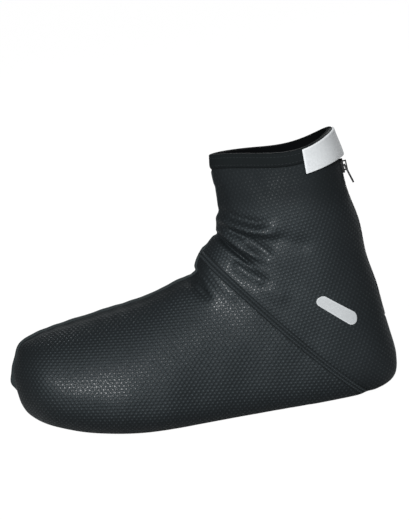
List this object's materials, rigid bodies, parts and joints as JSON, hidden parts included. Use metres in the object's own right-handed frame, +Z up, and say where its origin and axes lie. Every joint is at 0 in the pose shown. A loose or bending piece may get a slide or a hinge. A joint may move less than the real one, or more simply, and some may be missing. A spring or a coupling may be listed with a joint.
{
  "type": "cycling overshoe",
  "caption": "Ankle-high stretch overshoe that pulls over a cycling shoe, with back zip, closure tab and an underside open for cleat and heel.",
  "frame": {"origin": "on the floor, under the middle of the overshoe's outline seen from above", "axes": "+X from the toe to the heel, +Y to the inner side of the foot, +Z up; the sole's flat spots lie at z = 0"},
  "size_m": [0.2895, 0.0919, 0.2004],
  "materials": {
    "shell_fabric": "near-black stretch knit with a raised dot relief",
    "sole_fabric": "black hard-wearing coated weave",
    "seam_thread": "dark grey flat seams",
    "zip_tape": "black woven tape",
    "zip_coil": "black moulded coil",
    "slider_metal": "black enamel",
    "reflective_tab": "light grey retroreflective film on cloth"
  },
  "bodies": {
    "overshoe": {"upper": "shell_fabric", "sole_panel": "sole_fabric", "vamp_seam": "seam_thread", "rear_seam": "seam_thread", "collar_hem": "shell_fabric", "closure_tab": "reflective_tab", "heel_reflector": "reflective_tab", "zip_tape": "zip_tape", "zip_coil": "zip_coil", "zip_slider": "slider_metal"},
    "pull": {"zip_pull": "slider_metal"}
  },
  "joints": [
    {"name": "pull_hinge", "type": "hinge", "parent": "overshoe", "child": "pull", "pos_m": [0.12974, -0.00023, 0.17098], "axis": [0, -1, 0], "range_deg": [0, 140]}
  ]
}
